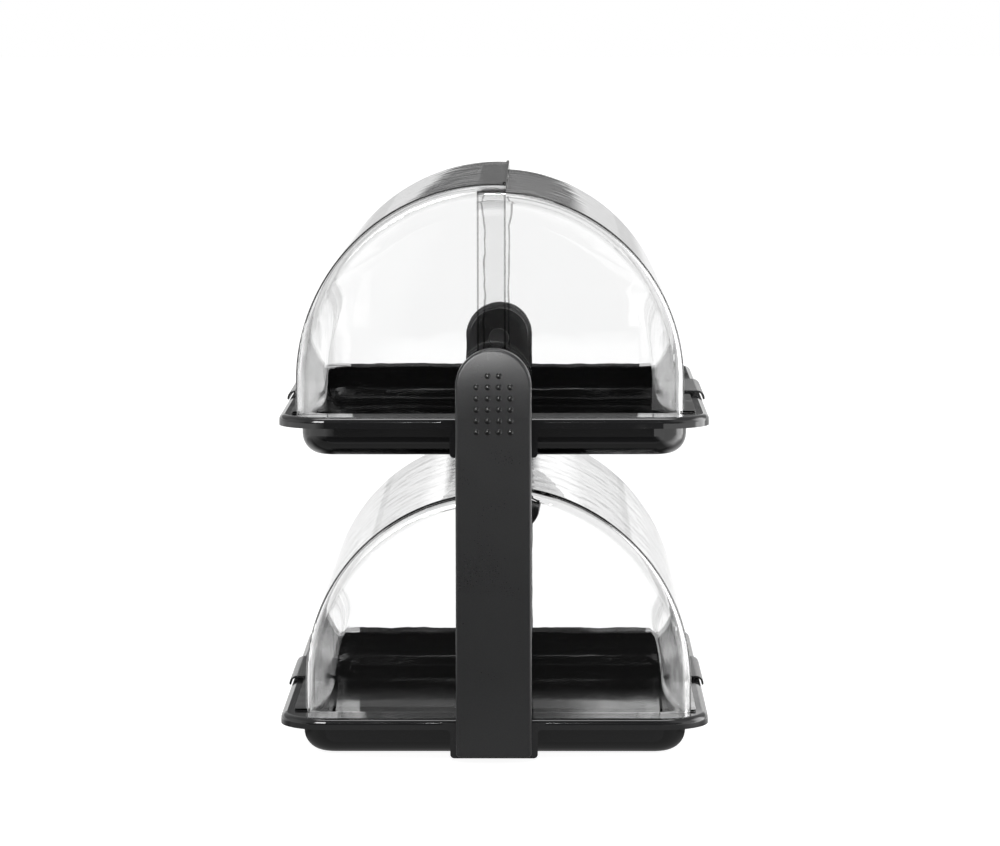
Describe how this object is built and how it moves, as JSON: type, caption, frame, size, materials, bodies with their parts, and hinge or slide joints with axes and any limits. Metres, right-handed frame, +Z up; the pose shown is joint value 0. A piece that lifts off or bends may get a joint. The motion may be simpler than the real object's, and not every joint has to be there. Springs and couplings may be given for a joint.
{
  "type": "countertop bread display",
  "caption": "Countertop bread display: black trays one above the other between end columns, each under a pair of clear roll-top hoods with grips that open to either side.",
  "frame": {"origin": "centre of the base, in the plane of the feet", "axes": "+Y along the display from the front column to the rear one, +X across it to the right-hand hoods, +Z up"},
  "size_m": [0.3246, 0.4624, 0.4296],
  "materials": {
    "tray_black": "gloss black moulded plastic",
    "column_black": "satin black moulded plastic with a fine grain",
    "plate_black": "satin black moulded plastic",
    "pivot_black": "smooth black moulded plastic",
    "hood_clear": "clear injection-moulded plastic, gloss",
    "grip_black": "gloss black moulded plastic",
    "foot_rubber": "matt rubber",
    "screw_steel": "zinc-plated steel"
  },
  "bodies": {
    "stand": {"lower_tray": "tray_black", "upper_tray": "tray_black", "rubber_feet": "foot_rubber", "lower_tray_screws": "screw_steel", "upper_tray_screws": "screw_steel", "front_column": "column_black", "front_lower_pivot_plate": "plate_black", "front_upper_pivot_plate": "plate_black", "front_lower_pivot_pin": "pivot_black", "front_lower_pivot_cap": "pivot_black", "front_upper_pivot_pin": "pivot_black", "front_upper_pivot_cap": "pivot_black", "rear_column": "column_black", "rear_lower_pivot_plate": "plate_black", "rear_upper_pivot_plate": "plate_black", "rear_lower_pivot_pin": "pivot_black", "rear_lower_pivot_cap": "pivot_black", "rear_upper_pivot_pin": "pivot_black", "rear_upper_pivot_cap": "pivot_black"},
    "lower_left_roll_top": {"lower_left_hood": "hood_clear", "lower_left_grip": "grip_black"},
    "lower_right_roll_top": {"lower_right_hood": "hood_clear", "lower_right_grip": "grip_black"},
    "upper_left_roll_top": {"upper_left_hood": "hood_clear", "upper_left_grip": "grip_black"},
    "upper_right_roll_top": {"upper_right_hood": "hood_clear", "upper_right_grip": "grip_black"}
  },
  "joints": [
    {"name": "lower_left_roll", "type": "hinge", "parent": "stand", "child": "lower_left_roll_top", "pos_m": [0, 0, 0.0566], "axis": [0, 1, 0], "range_deg": [0, 45]},
    {"name": "lower_right_roll", "type": "hinge", "parent": "stand", "child": "lower_right_roll_top", "pos_m": [0, 0, 0.0566], "axis": [0, -1, 0], "range_deg": [0, 45]},
    {"name": "upper_left_roll", "type": "hinge", "parent": "stand", "child": "upper_left_roll_top", "pos_m": [0, 0, 0.2813], "axis": [0, 1, 0], "range_deg": [0, 45]},
    {"name": "upper_right_roll", "type": "hinge", "parent": "stand", "child": "upper_right_roll_top", "pos_m": [0, 0, 0.2813], "axis": [0, -1, 0], "range_deg": [0, 45]}
  ]
}
